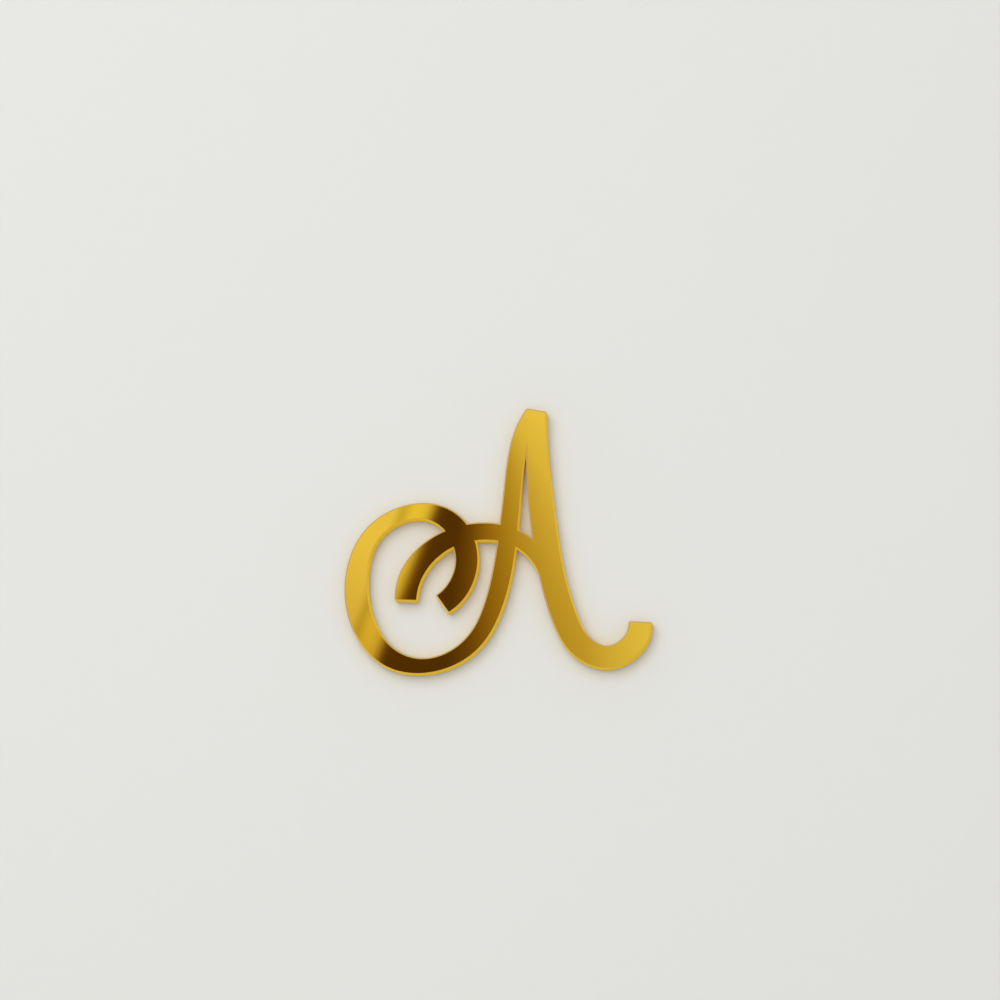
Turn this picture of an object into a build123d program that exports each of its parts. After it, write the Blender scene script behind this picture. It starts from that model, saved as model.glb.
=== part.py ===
from build123d import *
import os
from math import copysign, cos, radians, sin

# A script capital letter for the side of a cake, laser-cut in one piece from gold mirror acrylic.
# It stands upright and faces -Y. The origin is on its back, where the crossbar crosses the left leg.
# Sizes are in millimetres, and angles in degrees, anticlockwise from +X as seen from the front.
# The outline is three pen strokes, each a smooth path with a pen width at every station on it.

# Sheet
sheet_thickness = 3.0  # acrylic and both coatings
mirror_thickness = 0.1
paint_thickness = 0.1
edge_chamfer = 0.45  # front edge, softened after the cut
corner_radius = 0.6  # stroke ends

# Loop stroke: a hook, then the left half of a wide oval, then the left leg
loop_axis_left = 24.3  # top and base of the oval, from the crossing
loop_top_up = 7.6
loop_side_left = 42.9
loop_side_down = 12.0
loop_base_down = 36.5
loop_fullness = 2.13  # 2 is a plain ellipse, more is squarer
hook_side_left = 11.6
hook_side_down = 6.6
hook_fullness = 1.95
hook_end_angle = -63.0
hook_cut = -55.0  # slope of the cut end

# Legs: the apex that both share, and the round bowl that turns the right leg up into its tail
apex_right = 8.2
apex_up = 36.1
apex_cut = -12.0
bowl_right = 27.3
bowl_down = 25.5
bowl_radius = 9.5
bowl_fullness = 2.0
bowl_start_angle = 210.0
tail_end_angle = 362.0
tail_cut = -4.0

# Crossbar stroke: an arch from the curl inside the loop over to the right leg
arch_peak_left = 6.7
arch_peak_up = 1.3
arch_fullness = 2.05
arch_right = 12.3  # furthest right that its oval reaches
curl_left = 28.7
curl_down = 18.05
curl_cut = -3.0
foot_cut = 0.0  # level, inside the right leg

# Pen widths of the loop stroke
hook_end_width = 6.6
hook_width = 6.9
hook_shoulder_width = 6.0
loop_top_width = 5.0
loop_shoulder_width = 5.1
loop_side_width = 6.7
loop_heel_width = 6.5
loop_sole_width = 5.95
loop_base_width = 4.8
left_leg_turn_width = 5.2
left_leg_width = 5.7
left_leg_top_width = 5.2

# Pen widths of the right leg and the crossbar
apex_width = 5.8
right_leg_top_width = 6.6
right_leg_width = 7.3
bowl_start_width = 7.2
bowl_width = 6.7
tail_width = 6.7
curl_end_width = 6.6
curl_width = 6.8
curl_shoulder_width = 6.0
bar_width = 5.5
bar_shoulder_width = 5.1

# How the legs bow, as shares across and up between the two places that each stretch joins
left_leg_turn = (0.585, 0.165)
left_leg_calf = (0.84, 0.47)
left_leg_shin = (0.175, 0.39)
left_leg_crown = (0.485, 0.79)
right_leg_thigh = (0.02, 0.23)
right_leg_knee = (0.12, 0.43)
right_leg_shin = (0.435, 0.755)
right_leg_ankle = (0.745, 0.92)


def on_oval(center, half_width, half_height, fullness, angle):
    turn = radians(angle)
    across = copysign(abs(cos(turn)) ** (2 / fullness), cos(turn))
    up = copysign(abs(sin(turn)) ** (2 / fullness), sin(turn))
    return center + Vector(half_width * across, half_height * up)


def oval_stations(center, half_width, half_height, fullness, pen):
    """Stations on an oval, from pairs of an angle and a pen width."""
    return [(on_oval(center, half_width, half_height, fullness, angle), width) for angle, width in pen]


def between(start, end, shares):
    across, up = shares
    step = end - start
    return start + Vector(step.X * across, step.Y * up)


# Places that the strokes share
crossing = Vector(0, 0)
apex = Vector(apex_right, apex_up)
loop_base = Vector(-loop_axis_left, -loop_base_down)
bowl_center = Vector(bowl_right, -bowl_down)
bowl_start = on_oval(bowl_center, bowl_radius, bowl_radius, bowl_fullness, bowl_start_angle)
bar_foot = between(apex, bowl_start, right_leg_shin)


def pen_stroke(stations, start_cut=None, end_cut=None):
    """The face that the pen leaves, with the corners at its two ends rounded."""
    path = Spline(*[place for place, width in stations])
    cuts = [start_cut] + [None] * (len(stations) - 2) + [end_cut]
    left_points = []
    right_points = []
    for (place, width), cut in zip(stations, cuts):
        left = path.tangent_at(place).rotate(Axis.Z, 90)
        if cut is not None:
            slope = Vector(1, 0).rotate(Axis.Z, cut)
            left = slope if slope.dot(left) > 0 else -slope
        left_points.append(place + left * (width / 2))
        right_points.append(place - left * (width / 2))
    start_corners = [left_points[0], right_points[0]]
    end_corners = [left_points[-1], right_points[-1]]
    outline = [Spline(*left_points), Spline(*right_points), Line(*start_corners), Line(*end_corners)]
    stroke = make_face(outline)
    return fillet(stroke.vertices(), corner_radius)


def loop_stroke():
    hook_center = Vector(-loop_axis_left, -hook_side_down)
    hook_reach = loop_axis_left - hook_side_left
    hook_rise = loop_top_up + hook_side_down
    hook_pen = [
        (hook_end_angle, hook_end_width),
        (hook_end_angle / 2, hook_width),
        (0, hook_width),
        (30, hook_width),
        (60, hook_shoulder_width),
    ]
    loop_center = Vector(-loop_axis_left, -loop_side_down)
    loop_reach = loop_side_left - loop_axis_left
    upper_rise = loop_top_up + loop_side_down
    lower_rise = loop_base_down - loop_side_down
    upper_pen = [(90, loop_top_width), (135, loop_shoulder_width)]
    lower_pen = [
        (180, loop_side_width),
        (225, loop_heel_width),
        (243, loop_sole_width),
        (270, loop_base_width),
    ]
    leg = [
        (between(loop_base, crossing, left_leg_turn), left_leg_turn_width),
        (between(loop_base, crossing, left_leg_calf), left_leg_width),
        (crossing, left_leg_width),
        (between(crossing, apex, left_leg_shin), left_leg_top_width),
        (between(crossing, apex, left_leg_crown), left_leg_top_width),
        (apex, apex_width),
    ]
    stations = oval_stations(hook_center, hook_reach, hook_rise, hook_fullness, hook_pen)
    stations += oval_stations(loop_center, loop_reach, upper_rise, loop_fullness, upper_pen)
    stations += oval_stations(loop_center, loop_reach, lower_rise, loop_fullness, lower_pen)
    return pen_stroke(stations + leg, hook_cut, apex_cut)


def right_leg_stroke():
    leg = [
        (apex, apex_width),
        (between(apex, bowl_start, right_leg_thigh), right_leg_top_width),
        (between(apex, bowl_start, right_leg_knee), right_leg_width),
        (bar_foot, right_leg_width),
        (between(apex, bowl_start, right_leg_ankle), right_leg_width),
        (bowl_start, bowl_start_width),
    ]
    tail_middle_angle = (270 + tail_end_angle) / 2
    bowl_pen = [(270, bowl_width), (tail_middle_angle, bowl_width), (tail_end_angle, tail_width)]
    bowl = oval_stations(bowl_center, bowl_radius, bowl_radius, bowl_fullness, bowl_pen)
    return pen_stroke(leg + bowl, apex_cut, tail_cut)


def crossbar_stroke():
    arch_center = Vector(-arch_peak_left, -curl_down)
    arch_rise = arch_peak_up + curl_down
    curl_pen = [(180, curl_end_width), (150, curl_width), (120, curl_shoulder_width)]
    bar_pen = [(90, bar_width), (60, bar_shoulder_width), (30, bar_shoulder_width)]
    stations = oval_stations(arch_center, curl_left - arch_peak_left, arch_rise, arch_fullness, curl_pen)
    stations += oval_stations(arch_center, arch_right + arch_peak_left, arch_rise, arch_fullness, bar_pen)
    return pen_stroke(stations + [(bar_foot, right_leg_width)], curl_cut, foot_cut)


def sheet_layer(outline, depth, thickness):
    """One layer of the sheet, whose back lies that depth in front of the sheet's back."""
    return extrude(Plane.XZ.offset(depth) * outline, thickness)


def soft_edged(plate):
    front = plate.faces().sort_by(Axis.Y)[0]
    return chamfer(front.edges(), edge_chamfer)


def joined(pieces):
    first, *others = pieces
    return first + others


def acrylic_letter(strokes):
    """The acrylic of all the strokes, each softened before they are joined."""
    coatings = mirror_thickness + paint_thickness
    plates = [sheet_layer(stroke, coatings, sheet_thickness - coatings) for stroke in strokes]
    return joined([soft_edged(plate) for plate in plates])


def main():
    os.makedirs("parts", exist_ok=True)
    strokes = [loop_stroke(), right_leg_stroke(), crossbar_stroke()]
    outline = joined(strokes)
    export_step(acrylic_letter(strokes), "parts/acrylic_letter.step")
    export_step(sheet_layer(outline, paint_thickness, mirror_thickness), "parts/mirror_film.step")
    export_step(sheet_layer(outline, 0, paint_thickness), "parts/back_coat.step")


if __name__ == "__main__":
    main()
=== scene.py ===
import math
import bpy
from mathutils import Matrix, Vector

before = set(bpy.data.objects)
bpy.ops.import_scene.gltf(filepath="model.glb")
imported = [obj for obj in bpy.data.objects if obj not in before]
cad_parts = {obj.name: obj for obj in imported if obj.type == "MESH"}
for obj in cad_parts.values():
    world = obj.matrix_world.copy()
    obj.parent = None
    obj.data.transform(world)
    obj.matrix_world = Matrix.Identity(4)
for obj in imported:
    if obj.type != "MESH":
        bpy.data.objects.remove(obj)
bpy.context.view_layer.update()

mm = 0.001
scene = bpy.context.scene
scene.view_settings.view_transform = "Standard"
print("frame loaded:", ", ".join(sorted(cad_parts)))


def linearColour(hexCode):
    channels = [int(hexCode[i:i + 2], 16) / 255 for i in (1, 3, 5)]
    return tuple(c / 12.92 if c <= 0.04045 else ((c + 0.055) / 1.055) ** 2.4 for c in channels) + (1.0,)


def addNode(tree, kind, inputs=None, links=None, **settings):
    node = tree.nodes.new(kind)
    for name, value in settings.items():
        setattr(node, name, value)
    for socket, value in (inputs or {}).items():
        node.inputs[socket].default_value = value
    for socket, (source, output) in (links or {}).items():
        tree.links.new(source.outputs[output], node.inputs[socket])
    return node


def startMaterial(name):
    material = bpy.data.materials.new(name)
    material.use_nodes = True
    material.node_tree.nodes.clear()
    return material, material.node_tree


def setRamp(node, stops):  # stops are (position, hex colour), left to right
    ramp = node.color_ramp
    while len(ramp.elements) < len(stops):
        ramp.elements.new(1.0)
    for element, (position, hexCode) in zip(ramp.elements, stops):
        element.position = position
        element.color = linearColour(hexCode)


# acrylic letter: amber-tinted cast acrylic sheet, silvered behind and cut out by laser
# the eye sees a sharp gold mirror on the face, a painted highlight as a paler line on its softened edge,
# with painted shade making that line duller on the upper and left sides, and a bright satin yellow where
# the beam cut through
acrylicLook = {
    "faceGold": "#E8BF3E",
    # painted highlight: the front of the softened edge is drawn paler, as if lit from the front
    "bevelHighlightGold": "#E2B44C",
    "bevelPaintedShadeGold": "#C8A45A",  # painted shade, where the softened edge faces up or to the left
    "paintedShadeSide": (-0.5, 0.0, 0.87),  # the direction in which the painted shade is deepest
    "paintedShadeShare": (0.0, 0.15),  # how far it has to face that way, from no painted shade to full
    "leastSlant": 0.35,  # the softened edge faces forward by more than this, the cut by less
    "edgeGold": "#F4C822",
    "edgeDeepGold": "#E6B81C",
    "faceRoughness": 0.02,
    "faceHaze": 0.015,  # added where the face is least clean
    "edgeRoughness": 0.42,
    "edgeGloss": 0.05,  # the beam leaves it satin, with little shine
    "ior": 1.49,
    "bevelDepthMm": 2.8,  # what lies further forward gets the painted highlight, a paler line
    "faceDepthMm": 2.99,  # and what lies further than this is the mirror face
    "striationPitchMm": 0.5,  # really about 0.1, drawn coarser so that it shows
    "striationDepthMm": 0.02,
    "striationStretch": 25,  # times longer along the beam than across it
    "wavePitchMm": 30.0,  # a cast sheet is never dead flat
    "waveDepthMm": 0.005,
}


def goldMirrorAcrylic(look):
    material, tree = startMaterial("goldMirrorAcrylicLaserCut")
    place = addNode(tree, "ShaderNodeTexCoord")
    axes = addNode(tree, "ShaderNodeSeparateXYZ", None, {"Vector": (place, "Object")})
    bevel = addNode(tree, "ShaderNodeMath", {1: -look["bevelDepthMm"] * mm}, {0: (axes, "Y")},
                    operation="LESS_THAN")
    face = addNode(tree, "ShaderNodeMath", {1: -look["faceDepthMm"] * mm}, {0: (axes, "Y")},
                   operation="LESS_THAN")
    beam = addNode(tree, "ShaderNodeMapping", {"Scale": (1.0, 1 / look["striationStretch"], 1.0)},
                   {"Vector": (place, "Object")})
    striation = addNode(tree, "ShaderNodeTexNoise",
                        {"Scale": 1 / (look["striationPitchMm"] * mm), "Detail": 2.0},
                        {"Vector": (beam, "Vector")})
    wave = addNode(tree, "ShaderNodeTexNoise", {"Scale": 1 / (look["wavePitchMm"] * mm), "Detail": 0.0},
                   {"Vector": (place, "Object")})
    edgeColour = addNode(tree, "ShaderNodeMix",
                         {6: linearColour(look["edgeDeepGold"]), 7: linearColour(look["edgeGold"])},
                         {0: (striation, "Fac")}, data_type="RGBA")
    # paints the highlight on the front of the softened edge
    rimColour = addNode(tree, "ShaderNodeMix", {7: linearColour(look["bevelHighlightGold"])},
                        {0: (bevel, "Value"), 6: (edgeColour, 2)}, data_type="RGBA")
    # painted shade: the softened edge is drawn duller where it faces up or to the left
    side = addNode(tree, "ShaderNodeNewGeometry")
    facing = addNode(tree, "ShaderNodeSeparateXYZ", None, {"Vector": (side, "True Normal")})
    slanted = addNode(tree, "ShaderNodeMath", {1: -look["leastSlant"]}, {0: (facing, "Y")},
                      operation="LESS_THAN")
    away = addNode(tree, "ShaderNodeVectorMath", {1: look["paintedShadeSide"]}, {0: (side, "True Normal")},
                   operation="DOT_PRODUCT")
    # the painted shade starts at the first value and is full at the second
    noShadeAt, fullShadeAt = look["paintedShadeShare"]
    share = addNode(tree, "ShaderNodeMapRange", {"From Min": noShadeAt, "From Max": fullShadeAt},
                    {"Value": (away, "Value")})
    paintedShadeMask = addNode(tree, "ShaderNodeMath", None, {0: (share, "Result"), 1: (slanted, "Value")},
                     operation="MULTIPLY")
    rimWithPaintedShade = addNode(tree, "ShaderNodeMix", {7: linearColour(look["bevelPaintedShadeGold"])},
                        {0: (paintedShadeMask, "Value"), 6: (rimColour, 2)}, data_type="RGBA")
    colour = addNode(tree, "ShaderNodeMix", {7: linearColour(look["faceGold"])},
                     {0: (face, "Value"), 6: (rimWithPaintedShade, 2)}, data_type="RGBA")
    haze = addNode(tree, "ShaderNodeMapRange",
                   {"To Min": look["faceRoughness"], "To Max": look["faceRoughness"] + look["faceHaze"]},
                   {"Value": (wave, "Fac")})
    roughness = addNode(tree, "ShaderNodeMix", {2: look["edgeRoughness"]},
                        {0: (face, "Value"), 3: (haze, "Result")}, data_type="FLOAT")
    striationHeight = addNode(tree, "ShaderNodeMath", {1: look["striationDepthMm"] * mm},
                              {0: (striation, "Fac")}, operation="MULTIPLY")
    waveHeight = addNode(tree, "ShaderNodeMath", {1: look["waveDepthMm"] * mm}, {0: (wave, "Fac")},
                         operation="MULTIPLY")
    height = addNode(tree, "ShaderNodeMix", None,
                     {0: (face, "Value"), 2: (striationHeight, "Value"), 3: (waveHeight, "Value")},
                     data_type="FLOAT")
    bump = addNode(tree, "ShaderNodeBump", {"Strength": 1.0, "Distance": 1.0}, {"Height": (height, 0)})
    shader = addNode(tree, "ShaderNodeBsdfPrincipled",
                     {"IOR": look["ior"], "Specular IOR Level": look["edgeGloss"]},
                     {"Base Color": (colour, 2), "Metallic": (face, "Value"), "Roughness": (roughness, 0),
                      "Normal": (bump, "Normal")})
    addNode(tree, "ShaderNodeOutputMaterial", None, {"Surface": (shader, "BSDF")})
    return material


# mirror film: aluminium deposited in vacuum on the back of the acrylic
# only its cut edge shows, as a thin pale line between the gold and the paint
filmLook = {"aluminium": "#E2DFD8", "dullAluminium": "#C9C5BC", "roughness": 0.16, "grainMm": 0.4}


def vacuumAluminium(look):
    material, tree = startMaterial("vacuumDepositedAluminium")
    place = addNode(tree, "ShaderNodeTexCoord")
    grain = addNode(tree, "ShaderNodeTexNoise", {"Scale": 1 / (look["grainMm"] * mm), "Detail": 1.0},
                    {"Vector": (place, "Object")})
    colour = addNode(tree, "ShaderNodeMix",
                     {6: linearColour(look["dullAluminium"]), 7: linearColour(look["aluminium"])},
                     {0: (grain, "Fac")}, data_type="RGBA")
    shader = addNode(tree, "ShaderNodeBsdfPrincipled", {"Metallic": 1.0, "Roughness": look["roughness"]},
                     {"Base Color": (colour, 2)})
    addNode(tree, "ShaderNodeOutputMaterial", None, {"Surface": (shader, "BSDF")})
    return material


# back coat: grey lacquer sprayed over the film to protect it
# the eye sees a matte grey with a fine orange peel and a slightly uneven spray
paintLook = {
    "grey": "#74777A",
    "thinGrey": "#7E8184",
    "roughness": 0.58,
    "peelMm": 0.8,
    "peelDepthMm": 0.012,
    "cloudMm": 14.0,
}


def sprayedLacquer(look):
    material, tree = startMaterial("greyLacquerSprayed")
    place = addNode(tree, "ShaderNodeTexCoord")
    cloud = addNode(tree, "ShaderNodeTexNoise", {"Scale": 1 / (look["cloudMm"] * mm), "Detail": 3.0},
                    {"Vector": (place, "Object")})
    peel = addNode(tree, "ShaderNodeTexNoise", {"Scale": 1 / (look["peelMm"] * mm), "Detail": 1.0},
                   {"Vector": (place, "Object")})
    colour = addNode(tree, "ShaderNodeMix",
                     {6: linearColour(look["grey"]), 7: linearColour(look["thinGrey"])},
                     {0: (cloud, "Fac")}, data_type="RGBA")
    bump = addNode(tree, "ShaderNodeBump", {"Strength": 1.0, "Distance": look["peelDepthMm"] * mm},
                   {"Height": (peel, "Fac")})
    shader = addNode(tree, "ShaderNodeBsdfPrincipled", {"Roughness": look["roughness"]},
                     {"Base Color": (colour, 2), "Normal": (bump, "Normal")})
    addNode(tree, "ShaderNodeOutputMaterial", None, {"Surface": (shader, "BSDF")})
    return material


for nodeName, material in (
    ("acrylic_letter", goldMirrorAcrylic(acrylicLook)),
    ("mirror_film", vacuumAluminium(filmLook)),
    ("back_coat", sprayedLacquer(paintLook)),
):
    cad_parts[nodeName].material_slots[0].material = material
print("letter finished: gold face and cut edge, film, back paint")

# studio: pale floor, and a pale wall that the letter is mounted on, which is open from behind
studioLook = {
    "floorColour": "#E4E4E1",
    "wallColour": "#E4E4E1",
    "roughness": 0.9,
    "gloss": 0.1,
    "floorDrop": 0.25,
    "wallGap": 0.0005,
    "size": 6.0,
}


def addPlane(name, size, location, turn):
    bpy.ops.object.select_all(action="DESELECT")
    bpy.ops.mesh.primitive_plane_add(size=size, location=location, rotation=turn)
    plane = bpy.context.active_object
    plane.name = name
    return plane


def paleStage(name, look, hexCode, openBehind):
    material, tree = startMaterial(name)
    shader = addNode(tree, "ShaderNodeBsdfPrincipled",
                     {"Base Color": linearColour(hexCode), "Roughness": look["roughness"],
                      "Specular IOR Level": look["gloss"]})
    if openBehind:
        side = addNode(tree, "ShaderNodeNewGeometry")
        clear = addNode(tree, "ShaderNodeBsdfTransparent")
        shader = addNode(tree, "ShaderNodeMixShader", None,
                         {0: (side, "Backfacing"), 1: (shader, "BSDF"), 2: (clear, "BSDF")})
    addNode(tree, "ShaderNodeOutputMaterial", None, {"Surface": (shader, 0)})
    return material


floor = addPlane("floor", studioLook["size"], (0, 0, -studioLook["floorDrop"]), (0, 0, 0))
floor.data.materials.append(paleStage("paleFloor", studioLook, studioLook["floorColour"], False))
wall = addPlane("wall", studioLook["size"], (0, studioLook["wallGap"], 0), (math.radians(90), 0, 0))
wall.data.materials.append(paleStage("paleWall", studioLook, studioLook["wallColour"], True))
wall.visible_diffuse = False  # so that the back of the letter is still lit
wall.visible_shadow = False

# reflector card: out of sight behind the camera, it is what the gold face mirrors
# its tones fan out from one point, deep brown to warm white, with parallel bands on the left
cardLook = {
    "centre": (-0.1347, -1.0, 0.3153),
    "size": 1.1,
    "fan": [  # degrees from straight down, positive to the right
        (-8.5, "#573F16"),
        (-3.8, "#755828"),
        (2, "#9D834A"),
        (10, "#BCAA6E"),
        (23, "#DDD5BF"),
        (33, "#F0EEE4"),
        (53, "#FFFFFF"),
    ],
    "swirlMm": (100, 190),  # near and far from the fan's point
    "swirlTurn": (1.5, -1.2),  # degrees that its tones are turned there, so they bend a little
    "paleMm": (66, 105),  # to the right of that point, where the fan turns paler
    "paleShare": 0.65,
    "paleColour": "#F8FFFF",
    "bands": [  # millimetres across the bands, to the left
        (-5, "#573F16"),
        (-1.5, "#826030"),
        (4.5, "#F2EDC6"),
        (9, "#FFFFCC"),
        (13.5, "#FFFFCC"),
        (19.5, "#DAD5A4"),
        (25, "#FFFFFF"),
    ],
    "bandTurn": -159.5,  # degrees that bring the bands upright
    "fadeMm": (128, 195),  # down along the bands
    "fadeColour": "#E7DCDC",
}


def fanCard(look):
    material, tree = startMaterial("reflectorCard")
    place = addNode(tree, "ShaderNodeTexCoord")
    fan = addNode(tree, "ShaderNodeTexGradient", None, {"Vector": (place, "Object")},
                  gradient_type="RADIAL")  # a quarter is straight down
    radius = addNode(tree, "ShaderNodeVectorMath", None, {0: (place, "Object")}, operation="LENGTH")
    near, far = look["swirlMm"]
    nearTurn, farTurn = look["swirlTurn"]
    swirl = addNode(tree, "ShaderNodeMapRange",
                    {"From Min": near * mm, "From Max": far * mm,
                     "To Min": nearTurn / 360, "To Max": farTurn / 360},
                    {"Value": (radius, "Value")})
    bent = addNode(tree, "ShaderNodeMath", None, {0: (fan, "Fac"), 1: (swirl, "Result")}, operation="ADD")
    fanTone = addNode(tree, "ShaderNodeValToRGB", None, {"Fac": (bent, "Value")})
    setRamp(fanTone, [(0.25 + angle / 360, hexCode) for angle, hexCode in look["fan"]])
    sides = addNode(tree, "ShaderNodeSeparateXYZ", None, {"Vector": (place, "Object")})
    paleStart, paleEnd = look["paleMm"]
    pale = addNode(tree, "ShaderNodeMapRange",
                   {"From Min": paleStart * mm, "From Max": paleEnd * mm, "To Max": look["paleShare"]},
                   {"Value": (sides, "X")})
    palerFan = addNode(tree, "ShaderNodeMix", {7: linearColour(look["paleColour"])},
                       {0: (pale, "Result"), 6: (fanTone, "Color")}, data_type="RGBA")
    turned = addNode(tree, "ShaderNodeMapping", {"Rotation": (0, 0, math.radians(look["bandTurn"]))},
                     {"Vector": (place, "Object")})
    axes = addNode(tree, "ShaderNodeSeparateXYZ", None, {"Vector": (turned, "Vector")})
    first, last = look["bands"][0][0], look["bands"][-1][0]
    reach = last - first
    across = addNode(tree, "ShaderNodeMapRange", {"From Min": first * mm, "From Max": last * mm},
                     {"Value": (axes, "X")})
    bandTone = addNode(tree, "ShaderNodeValToRGB", None, {"Fac": (across, "Result")})
    setRamp(bandTone, [((distance - first) / reach, hexCode) for distance, hexCode in look["bands"]])
    fadeStart, fadeEnd = look["fadeMm"]
    fade = addNode(tree, "ShaderNodeMapRange", {"From Min": fadeStart * mm, "From Max": fadeEnd * mm},
                   {"Value": (axes, "Y")})
    faded = addNode(tree, "ShaderNodeMix", {7: linearColour(look["fadeColour"])},
                    {0: (fade, "Result"), 6: (bandTone, "Color")}, data_type="RGBA", blend_type="MULTIPLY")
    onBands = addNode(tree, "ShaderNodeMath", {1: first * mm}, {0: (axes, "X")}, operation="GREATER_THAN")
    tone = addNode(tree, "ShaderNodeMix", None,
                   {0: (onBands, "Value"), 6: (palerFan, 2), 7: (faded, 2)}, data_type="RGBA")
    glow = addNode(tree, "ShaderNodeEmission", {"Strength": 1.0}, {"Color": (tone, 2)})
    addNode(tree, "ShaderNodeOutputMaterial", None, {"Surface": (glow, "Emission")})
    return material


card = addPlane("reflectorCard", cardLook["size"], cardLook["centre"], (math.radians(90), 0, 0))
card.data.materials.append(fanCard(cardLook))
card.visible_camera = False  # it is only there for the gold to mirror
card.visible_diffuse = False
card.visible_shadow = False
print("studio set: floor, wall, reflector card")

# light: an even pale room and one big soft lamp from the upper left
lightLook = {
    "nadir": "#C8C8C8",
    "horizon": "#E6E6E6",
    "zenith": "#FAFAFA",
    "roomStrength": 0.95,
    "lampPlace": (-0.4, -1.0, 0.5),
    "lampSize": 1.0,
    "lampWatts": 4.0,
}
world = bpy.data.worlds.new("paleRoom")
world.use_nodes = True
scene.world = world
worldTree = world.node_tree
worldTree.nodes.clear()
skyPlace = addNode(worldTree, "ShaderNodeTexCoord")
skyAxes = addNode(worldTree, "ShaderNodeSeparateXYZ", None, {"Vector": (skyPlace, "Generated")})
skyHeight = addNode(worldTree, "ShaderNodeMapRange", {"From Min": -1.0, "From Max": 1.0},
                    {"Value": (skyAxes, "Z")})
skyTone = addNode(worldTree, "ShaderNodeValToRGB", None, {"Fac": (skyHeight, "Result")})
setRamp(skyTone, [(0.0, lightLook["nadir"]), (0.5, lightLook["horizon"]), (1.0, lightLook["zenith"])])
room = addNode(worldTree, "ShaderNodeBackground", {"Strength": lightLook["roomStrength"]},
               {"Color": (skyTone, "Color")})
addNode(worldTree, "ShaderNodeOutputWorld", None, {"Surface": (room, "Background")})

lampData = bpy.data.lights.new("softLamp", "AREA")
lampData.size = lightLook["lampSize"]
lampData.energy = lightLook["lampWatts"]
lamp = bpy.data.objects.new("softLamp", lampData)
scene.collection.objects.link(lamp)
lamp.location = lightLook["lampPlace"]
lamp.rotation_euler = (-Vector(lightLook["lampPlace"])).to_track_quat("-Z", "Y").to_euler()
lamp.visible_camera = False
lamp.visible_glossy = False  # from below, the gold would mirror it together with the card
print("light set")

# camera: a long lens, from a little below the letter and to its right, as in the photograph
cameraLook = {
    "place": (0.09061, -0.75909, -0.15864),
    "target": (-0.00193, -0.00540, 0.00970),
    "lensMm": 100.0,
    "sensorMm": 36.0,
}
cameraData = bpy.data.cameras.new("photoCamera")
cameraData.lens = cameraLook["lensMm"]
cameraData.sensor_width = cameraLook["sensorMm"]
camera = bpy.data.objects.new("photoCamera", cameraData)
scene.collection.objects.link(camera)
camera.location = cameraLook["place"]
aim = Vector(cameraLook["target"]) - Vector(cameraLook["place"])
camera.rotation_euler = aim.to_track_quat("-Z", "Y").to_euler()
scene.camera = camera
print("camera set")
